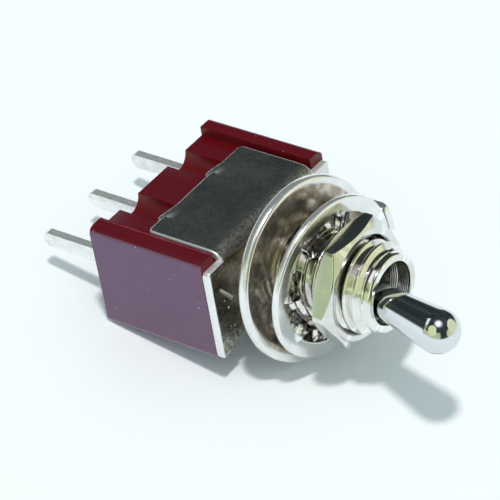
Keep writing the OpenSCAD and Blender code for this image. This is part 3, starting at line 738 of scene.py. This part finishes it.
def bushing_outline():
    """Closed outline of the bushing, up its outside and down its bore, with one value a column."""
    lip_z, mouth_z = BUSHING_END - LIP_L, BUSHING_END - MOUTH_L
    waist_z = PIVOT_Z + BALL_BORE_R * math.sqrt(2) - WAIST_R
    outline = [
        (bored(BALL_BORE_R, FOOT_Z), FOOT_Z), (foot_edge - FOOT_EDGE, FOOT_Z),
        (foot_edge, FOOT_Z + FOOT_EDGE), (foot_edge, CASE_H), (THREAD_R, CASE_H), (THREAD_R, plate_top),
        (keyed(THREAD_R), plate_top + 1e-3),
    ]
    outline += thread_outline(plate_top + 0.05, lip_z)
    lip = arc((LIP_R - LIP_ROUND, BUSHING_END - LIP_ROUND), LIP_ROUND, 0, 90, 6)
    outline += [(keyed(r), z) for r, z in lip]
    outline += arc((MOUTH_R + MOUTH_ROUND, BUSHING_END - MOUTH_ROUND), MOUTH_ROUND, 90, 180, 4)
    for i in range(1, 4 * RING_COUNT):
        z = BUSHING_END - RING_START - i * RING_PITCH / 4
        flare = min(1.0, (z - waist_z) / (mouth_z - waist_z))
        r = WAIST_R + (MOUTH_R - WAIST_R) * flare + RING_DEPTH * (0, 0.7, 1, 0.7)[i % 4]
        outline.append((r, z))
    bore = [(WAIST_R, waist_z + 0.05), (WAIST_R, waist_z), (BALL_BORE_R, waist_z + WAIST_R - BALL_BORE_R)]
    bore += [(BALL_BORE_R, PIVOT_Z + TRUNNION_SLOT_R * share) for share in (1, 0.9, 0.6, 0)]
    bore += [(BALL_BORE_R, STEM_SLOT_TOP), (BALL_BORE_R, STEM_SLOT_TOP - 0.01)]
    return outline + [(bored(r, z), z) for r, z in bore]


bushing_part = revolved(bushing_outline(), bushing_turns)
piece(
    "bushing_body", built("bushing_body", [bushing_part]), "switch_body", ["bushing"],
    bushing_plate, sharp=38,
)

# Lever: bat, ball and bored stem turned in one, with its two trunnions


def lever_outline():
    """Outline of the lever in (radius, height) from its pivot, from the bored stem to the tip."""
    ball_top = math.degrees(math.acos(NECK_R / BALL_R))
    ball_low = -math.degrees(math.acos(STEM_R / BALL_R))
    neck_z = BALL_R * sin_d(ball_top)
    tip_z = LEVER_L - TIP_R
    shares = np.linspace(0.04, 0.98, 14)
    bat = [(NECK_R + (TIP_R - NECK_R) * t, neck_z + (tip_z - neck_z) * t) for t in shares]
    return (
        [(0.0, -SPRING_ROOF), (STEM_BORE_R, -SPRING_ROOF), (STEM_BORE_R, BORE_EDGE - STEM_L)]
        + [(STEM_BORE_R + BORE_EDGE, -STEM_L), (STEM_R - STEM_EDGE, -STEM_L), (STEM_R, STEM_EDGE - STEM_L)]
        + arc((0, 0), BALL_R, ball_low, ball_top, 28)
        + bat
        + arc((0, tip_z), TIP_R, 0, 90, 18)
    )


def lever_parts():
    """The turned lever and the pin of its trunnions, at rest."""
    bat = revolved(lever_outline(), turns(96), loop=False)
    r, half, edge = TRUNNION_R, TRUNNION_HALF, TRUNNION_EDGE
    end = [(0.0, half), (r - edge, half), (r, half - edge)]
    pins = revolved([(r, -z) for r, z in end] + end[::-1], turns(32), loop=False)
    rest = Matrix.Translation((0, 0, PIVOT_Z)) @ Matrix.Rotation(math.radians(-LEVER_ANGLE), 4, "Y")
    return [placed(bat, rest), placed(pins, rest @ Matrix.Rotation(math.radians(90), 4, "X"))]


piece(
    "lever_bat", built("lever_bat", lever_parts()), "lever", ["toggle_lever"], lever_chrome,
    sharp=40,
)

# Nut: hexagon with both faces chamfered by a cone, and a bore that is countersunk at both ends


def eased(corners, reach, steps=4):
    """Open outline with its inner corners rounded: corners are pairs of arrays (radius, height)."""
    line = [corners[0]]
    for before, corner, after in zip(corners, corners[1:], corners[2:]):
        ends = []
        for other in (before, after):
            gap = np.hypot(other[0] - corner[0], other[1] - corner[1])
            t = np.minimum(0.45, reach / np.maximum(gap, 1e-6))
            ends.append([c + (o - c) * t for c, o in zip(corner, other)])
        for t in np.linspace(0, 1, steps + 1):
            weights = (1 - t) ** 2, 2 * t * (1 - t), t ** 2
            line.append([np.dot(weights, values) for values in zip(ends[0], corner, ends[1])])
    return line + [corners[-1]]


def nut_parts():
    """The nut as one closed ring, its flanks rounded a little where they meet."""
    low, high = nut_low[2], nut_high[2]
    angles = turns(6 * 30)
    corner_power = 90
    fan = np.cos(np.radians(angles[:, None] - np.array([30, 90, 150, 210, 270, 330]))).clip(0)
    flank = NUT_AF / 2 / (fan ** corner_power).sum(axis=1) ** (1 / corner_power)
    drop = (flank - NUT_FACE_R) * math.tan(math.radians(NUT_CHAMFER))
    flat = np.zeros_like(angles)
    corners = [
        (flat + NUT_BORE_R, flat + low + NUT_SINK), (flat + NUT_BORE_R + NUT_SINK, flat + low),
        (flat + NUT_FACE_R, flat + low), (flank, low + drop), (flank, high - drop),
        (flat + NUT_FACE_R, flat + high), (flat + NUT_BORE_R + NUT_SINK, flat + high),
        (flat + NUT_BORE_R, flat + high - NUT_SINK),
    ]
    return [revolved(eased(corners, NUT_EASE), angles)]


piece(
    "nut_hexagon", built("nut_hexagon", nut_parts()), "nut", ["mounting_nut"], nut_plate,
    sharp=30,
)

# Washers, which lean on the bushing


def leaning(height, lean, turn=0.0):
    """Place of a washer that has dropped on the bushing and leans."""
    return (
        Matrix.Translation((0, -WASHER_DROP, height))
        @ Matrix.Rotation(math.radians(-lean[1]), 4, "X")
        @ Matrix.Rotation(math.radians(-lean[0]), 4, "Y")
        @ Matrix.Rotation(math.radians(turn), 4, "Z")
    )


def bar_part(section, stations):
    """Closed bar: a section of (across, height) set at stations of (x, twist, width scale)."""
    return bar_of([
        [
            (x, wide * y * cos_d(twist) - z * sin_d(twist), wide * y * sin_d(twist) + z * cos_d(twist))
            for y, z in section
        ]
        for x, twist, wide in stations
    ])


def bar_section(width, height, r, steps=3):
    """Rectangle with round corners, centred, as points of (across, height)."""
    w, h = width / 2 - r, height / 2 - r
    return (
        arc((w, h), r, 0, 90, steps) + arc((-w, h), r, 90, 180, steps)
        + arc((-w, -h), r, 180, 270, steps) + arc((w, -h), r, 270, 360, steps)
    )


def washer_tab():
    """Bent tab of the locating washer, with round corners."""
    half = LOCATING_T / 2
    out, inner = LOCATING_R + TAB_REACH, LOCATING_R + TAB_REACH - TAB_T
    top, root = TAB_H + half, half + TAB_BEND
    outline = (
        [(inner - TAB_T, -half + 0.01)]
        + arc((inner, -half + TAB_T), TAB_T, -90, 0, 8)
        + arc((out - TAB_EDGE, top - TAB_EDGE), TAB_EDGE, 0, 90, 3)
        + arc((inner + TAB_EDGE, top - TAB_EDGE), TAB_EDGE, 90, 180, 3)
        + arc((inner - TAB_BEND, root), TAB_BEND, 0, -90, 5)
        + [(inner - TAB_T, half - 0.01)]
    )
    side = math.degrees(math.asin(TAB_W / 2 / out))
    angles = side * np.sin(np.radians(np.linspace(-90, 90, 33)))
    from_side = out * np.radians(side - np.abs(angles))
    drop = TAB_ROUND - np.sqrt(TAB_ROUND ** 2 - np.clip(TAB_ROUND - from_side, 0, TAB_ROUND) ** 2)
    rows = []
    for r, z in outline:
        lift = np.clip((z - root) / (top - root), 0, 1)
        rows.append(polar_row(angles, r, z - drop * lift))
    return grid_part(rows, caps=True)


def locating_parts():
    """Ring, tongue and tab of the locating washer."""
    half = LOCATING_T / 2
    section = round_section(WASHER_BORE_R, LOCATING_R, -half, half, LOCATING_RIM, WASHER_EDGE, 8)
    tongue = bar_part(
        bar_section(TONGUE_W, LOCATING_T - 0.02, TONGUE_EDGE),
        [(TONGUE_R, 0, 0.8), (TONGUE_R + TONGUE_EDGE, 0, 1), (TONGUE_ROOT, 0, 1)],
    )
    place = leaning(LOCATING_Z, LOCATING_LEAN, LOCATING_TURN)
    return [placed(part, place) for part in (revolved(section, turns(144)), tongue, washer_tab())]


def lock_parts():
    """Ring of the lock washer and its twisted teeth."""
    half, ring_r = LOCK_T / 2, LOCK_R - LOCK_RING
    section = round_section(ring_r, LOCK_R, -half, half, LOCK_RIM, WASHER_EDGE, 7)
    tooth = bar_section(math.pi * ring_r / LOCK_TEETH, LOCK_T, TOOTH_EDGE)
    steps = np.linspace(0, 1, 9)
    stations = [(ring_r + 0.35 - 0.55 * t, LOCK_TWIST * t * t * (3 - 2 * t), 0.985) for t in steps]
    stations += [(r, LOCK_TWIST, 1.0) for r in np.linspace(ring_r - 0.3, WASHER_BORE_R + 0.08, 4)]
    stations += [(WASHER_BORE_R + 0.02, LOCK_TWIST, 0.96)]
    place = leaning(LOCK_Z, LOCK_LEAN)
    parts = [placed(revolved(section, turns(144)), place)]
    for i in range(LOCK_TEETH):
        turn = Matrix.Rotation(math.radians(360 * (i + 0.5) / LOCK_TEETH), 4, "Z")
        parts.append(placed(bar_part(tooth, stations), place @ turn))
    return parts


def rim_of(place, r):
    """Test for the sheared rim of a washer of this radius that lies at a place."""
    back = np.array(place.inverted())
    rim_depth, rim_half = 0.2, 0.45

    def is_rim(at, normal):
        """True where a face belongs to the rim."""
        local = back[:3, :3] @ at + back[:3, 3]
        flat = abs(back[2, :3] @ np.array(normal)) >= 0.9
        return math.hypot(local[0], local[1]) > r - rim_depth and abs(local[2]) < rim_half and not flat

    return is_rim


locating_ring = piece(
    "locating_washer_plate", built("locating_washer_plate", locating_parts()), "switch_body",
    ["locating_washer"], locating_plate, bevel=0.05, bevel_angle=50, sharp=35,
)
sheared(locating_ring, rim_edge, rim_of(leaning(LOCATING_Z, LOCATING_LEAN, LOCATING_TURN), LOCATING_R))
lock_teeth = piece(
    "lock_washer_teeth", built("lock_washer_teeth", lock_parts()), "lock_washer",
    ["lock_washer"], lock_plate, sharp=35,
)
sheared(lock_teeth, rim_edge, rim_of(leaning(LOCK_Z, LOCK_LEAN), LOCK_R))

# The pieces inside keep their CAD forms and get their own finishes; the spring gets a mesh of its own

spring_coil = piece(
    "spring_coil", refined("lever_spring"), "lever", ["lever_spring"], spring_steel,
    sharp=70,
)
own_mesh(spring_coil)
for name, finish in (
    ("plunger", plunger_plastic), ("rocker_contact", contact_bronze),
    ("rocker_button_a", contact_silver), ("rocker_button_b", contact_silver),
    ("fixed_contact_a", contact_silver), ("fixed_contact_b", contact_silver),
):
    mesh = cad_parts[name].data
    mesh.materials.clear()
    mesh.materials.append(finish)

# Floor under the switch, which lies on the case's lower edge and the large washer's rim

lie_y, lie_z = case_low[1], case_low[2]
washer_points = np.array([v.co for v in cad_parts["locating_washer"].data.vertices]) / MM
FLOOR_TILT = max(math.atan2(lie_y - y, z - lie_z) for y, z in washer_points[:, 1:])
floor_up = Vector((0, math.cos(FLOOR_TILT), math.sin(FLOOR_TILT)))
floor_at = Vector((0, lie_y, lie_z)) * MM
FLOOR_HALF, DOME_R = 2.0, 2.4
FLOOR_COLOURS = ((0.94, 0.97, 0.975), (0.965, 0.995, 1.0))
FILL_COLOUR, FILL = (0.82, 0.98, 1.02), 0.57
BACKGROUND = (0.97, 1, 1)
KEY_COLOUR, KEY_LEVEL, KEY_DISTANCE, KEY_SIZE = (1.0, 0.95, 0.94), 0.52, 1.2, 0.12
KEY_FROM = Vector((-0.19, 0.967, 0.266)).normalized()

# Dim walls round the stage: their colours, the pale band at the floor, a low band beside the case,
# a high panel of two discs, and round panels of (direction, inner and outer angle, colour)
WALL_COLOURS, HORIZON_COLOUR = ((0.02, 0.026, 0.028), (0.055, 0.072, 0.07)), (0.96, 0.99, 1.0)
LOW_FROM, LOW_ANGLES, LOW_COLOUR = (-1, 0.2, 0), (38, 50), (0.52, 0.64, 0.4)
HIGH_FROM, HIGH_ANGLES = ((-0.76, 0.65, -0.02), (-0.85, 0.52, 0.02)), (18, 23)
HIGH_COLOURS = ((0.82, 0.88, 0.5), (1.0, 0.96, 0.98))
PANELS = (
    ((0.12, 0.08, 1), 17, 23, (0.68, 0.74, 0.46)),
    ((0.56, 0.25, 0.79), 25, 31, (0.84, 0.88, 0.6)),
    (KEY_FROM, 15, 25, (0.3, 0.31, 0.45)),
    (KEY_FROM, 12, 18, (0.97, 0.97, 1.0)),
)

# Reflector card: radius about the bushing, turn about it in degrees, height in the part's frame, then its
# parts, as turns with the softness of their ends, and its colours
CARD_R, CARD_TURN, CARD_Z = 24.5, (-4, 90), (-1.6, 10.0)
FOLDED_PART, PINK_PART, SEEN_PART, CARD_SOFT = (-10, 60, 4), (2, 38, 3), (2, 84, 3), 0.6
CARD_OLIVE, CARD_FOLDS, CARD_PINK = (0.53, 0.65, 0.42), (0.16, 0.19, 0.09), (1.0, 0.95, 0.97)


def facing(up):
    """Rotation whose Z axis is up."""
    return up.to_track_quat("Z", "Y").to_matrix().to_4x4()


def bare_material(name):
    """New material with an empty node tree."""
    made = bpy.data.materials.new(name)
    made.use_nodes = True
    made.node_tree.nodes.clear()
    return made, made.node_tree


def stage_object(mesh, material, place=Matrix()):
    """Object of the stage with its material."""
    mesh.materials.append(material)
    obj = bpy.data.objects.new(mesh.name, mesh)
    obj.matrix_world = place
    bpy.context.scene.collection.objects.link(obj)
    return obj


def reflected_only(obj):
    """Hides an object from all but reflections."""
    obj.visible_camera = obj.visible_diffuse = obj.visible_shadow = False
    obj.visible_transmission = obj.visible_volume_scatter = False


def make_floor():
    """Pale floor that is clear from below."""
    mesh = bpy.data.meshes.new("floor")
    h = FLOOR_HALF
    mesh.from_pydata([(-h, -h, 0), (h, -h, 0), (h, h, 0), (-h, h, 0)], [], [(0, 1, 2, 3)])
    made, tree = bare_material("floor")
    grain = spread(tree, noise(tree, 300, 3.0), 0.3, 0.7, 0.99, 1.0)
    colour = mixed(tree, grain, *FLOOR_COLOURS)
    pale = node(tree, "ShaderNodeBsdfDiffuse", {"Color": colour}).outputs[0]
    clear = node(tree, "ShaderNodeBsdfTransparent").outputs[0]
    behind = node(tree, "ShaderNodeNewGeometry").outputs["Backfacing"]
    both = node(tree, "ShaderNodeMixShader", {"Fac": behind, 1: pale, 2: clear}).outputs[0]
    node(tree, "ShaderNodeOutputMaterial", {"Surface": both})
    obj = stage_object(mesh, made, Matrix.Translation(floor_at) @ facing(floor_up))


def make_dome():
    """Dim studio walls with pale panels, which only reflections see."""
    mesh = bpy.data.meshes.new("studio_walls")
    bm = bmesh.new()
    bmesh.ops.create_uvsphere(bm, u_segments=48, v_segments=24, radius=DOME_R)
    under = [v for v in bm.verts if v.co.dot(floor_up) < -0.1]
    bmesh.ops.delete(bm, geom=under, context="VERTS")
    bm.to_mesh(mesh)
    bm.free()
    made, tree = bare_material("studio_walls")
    out = node(tree, "ShaderNodeTexCoord").outputs["Object"]
    out = node(tree, "ShaderNodeVectorMath", {0: out}, operation="NORMALIZE").outputs["Vector"]

    def towards(direction, near, far):
        """1 within an angle of a direction, 0 beyond a larger one."""
        reach = dot(tree, out, Vector(direction).normalized())
        return spread(tree, reach, cos_d(far), cos_d(near), 0.0, 1.0, smooth=True)

    colour = mixed(tree, spots(tree, 0.9, 2.0, 0.35, 0.65), *WALL_COLOURS)
    slant = dot(tree, out, floor_up - Vector((0, 0, 0.25)))
    low_band = spread(tree, slant, 0.38, 0.48, 1.0, 0.0, smooth=True)
    low_band = times(tree, towards(LOW_FROM, *LOW_ANGLES), low_band)
    colour = mixed(tree, low_band, colour, LOW_COLOUR)
    ahead = node(tree, "ShaderNodeSeparateXYZ", {0: out}).outputs["Z"]
    high_tint = mixed(tree, spread(tree, ahead, 0.22, 0.34, 0.0, 1.0), *HIGH_COLOURS)
    high_panel = maths(tree, "MAXIMUM", *(towards(disc, *HIGH_ANGLES) for disc in HIGH_FROM))
    colour = mixed(tree, high_panel, colour, high_tint)
    for direction, near, far, tint in PANELS:
        colour = mixed(tree, towards(direction, near, far), colour, tint)
    horizon = spread(tree, dot(tree, out, floor_up), 0.0, 0.12, 1.0, 0.0, smooth=True)
    colour = mixed(tree, horizon, colour, HORIZON_COLOUR)
    glow = node(tree, "ShaderNodeEmission", {"Color": colour, "Strength": 1.0}).outputs[0]
    node(tree, "ShaderNodeOutputMaterial", {"Surface": glow})
    obj = stage_object(mesh, made)
    reflected_only(obj)


def make_card():
    """Olive reflector card with a pink part beside the bushing, which only reflections see."""
    angles = np.radians(np.linspace(CARD_TURN[0], CARD_TURN[1], 41))
    rows = [[(-CARD_R * math.sin(a), CARD_R * math.cos(a), z) for a in angles] for z in CARD_Z]
    points, faces = grid_part(rows, loop=False)
    mesh = bpy.data.meshes.new("reflector_card")
    mesh.from_pydata((points * MM).tolist(), [], faces)
    made, tree = bare_material("reflector_card")
    x, y, z = places(tree)
    turn = maths(tree, "ARCTAN2", times(tree, x, -1.0), y)

    def part(low, high, soft):
        """1 between two turns about the bushing, with soft ends."""
        edges = [math.radians(a) for a in (low - soft, low + soft, high - soft, high + soft)]
        rise = spread(tree, turn, edges[0], edges[1], 0.0, 1.0, smooth=True)
        fall = spread(tree, turn, edges[2], edges[3], 1.0, 0.0, smooth=True)
        return times(tree, rise, fall)

    folds = spread(tree, noise(tree, 260, 3.0, (1, 1, 0.5)), 0.42, 0.56, 0.0, 1.0)
    olive = mixed(tree, times(tree, folds, part(*FOLDED_PART)), CARD_OLIVE, CARD_FOLDS)
    colour = mixed(tree, part(*PINK_PART), olive, CARD_PINK)
    glow = node(tree, "ShaderNodeEmission", {"Color": colour, "Strength": 1.0}).outputs[0]
    clear = node(tree, "ShaderNodeBsdfTransparent").outputs[0]
    inside = between(tree, z, CARD_Z[0] + CARD_SOFT, CARD_Z[1] - CARD_SOFT, CARD_SOFT)
    inside = times(tree, inside, part(*SEEN_PART))
    both = node(tree, "ShaderNodeMixShader", {"Fac": inside, 1: clear, 2: glow}).outputs[0]
    node(tree, "ShaderNodeOutputMaterial", {"Surface": both})
    obj = stage_object(mesh, made)
    reflected_only(obj)


def make_world():
    """Soft fill light; the camera and mirrors see a plain pale background instead."""
    made = bpy.data.worlds.new("studio")
    bpy.context.scene.world = made
    made.use_nodes = True
    tree = made.node_tree
    tree.nodes.clear()
    path = node(tree, "ShaderNodeLightPath").outputs
    seen = path["Is Camera Ray"]
    for ray in ("Is Glossy Ray", "Is Transmission Ray"):
        seen = maths(tree, "MAXIMUM", seen, path[ray])
    fill = node(tree, "ShaderNodeBackground", {"Color": (*FILL_COLOUR, 1), "Strength": FILL}).outputs[0]
    pale = node(tree, "ShaderNodeBackground", {"Color": (*BACKGROUND, 1), "Strength": 1.0}).outputs[0]
    both = node(tree, "ShaderNodeMixShader", {"Fac": seen, 1: fill, 2: pale}).outputs[0]
    node(tree, "ShaderNodeOutputWorld", {"Surface": both})


def make_key():
    """Round key lamp; a level of 1 lights a white face that it meets squarely to white."""
    lamp = bpy.data.lights.new("key", "AREA")
    lamp.shape = "DISK"
    lamp.size = KEY_SIZE
    lamp.color = KEY_COLOUR
    lamp.energy = KEY_LEVEL * (math.pi * KEY_DISTANCE) ** 2
    obj = bpy.data.objects.new("key", lamp)
    middle = Vector((0, 0, PIVOT_Z * MM))
    obj.matrix_world = Matrix.Translation(middle + KEY_FROM * KEY_DISTANCE) @ facing(KEY_FROM)
    bpy.context.scene.collection.objects.link(obj)


# Camera fitted to the photograph's edges: its place, its right and down directions, its focal length

CAMERA_AT = Vector((-111.597, 111.544, 106.644)) * MM
CAMERA_RIGHT = Vector((0.576198, -0.141313, 0.805001))
CAMERA_DOWN = Vector((-0.557298, -0.788389, 0.260502))
FOCAL_PX, IMAGE_PX, SENSOR_MM = 2940.69, 500, 36.0


def make_camera():
    """Camera at the photograph's point of view."""
    lens = bpy.data.cameras.new("camera")
    lens.sensor_width = SENSOR_MM
    lens.lens = FOCAL_PX / IMAGE_PX * SENSOR_MM
    lens.clip_start, lens.clip_end = 0.01, 20
    obj = bpy.data.objects.new("camera", lens)
    up = -CAMERA_DOWN
    back = CAMERA_RIGHT.cross(up)
    turn = Matrix((CAMERA_RIGHT, up, back)).transposed().to_4x4()
    obj.matrix_world = Matrix.Translation(CAMERA_AT) @ turn
    bpy.context.scene.collection.objects.link(obj)
    bpy.context.scene.camera = obj


make_floor()
make_dome()
make_card()
make_world()
make_key()
make_camera()
bpy.context.scene.view_settings.view_transform = "Standard"

bpy.context.view_layer.update()
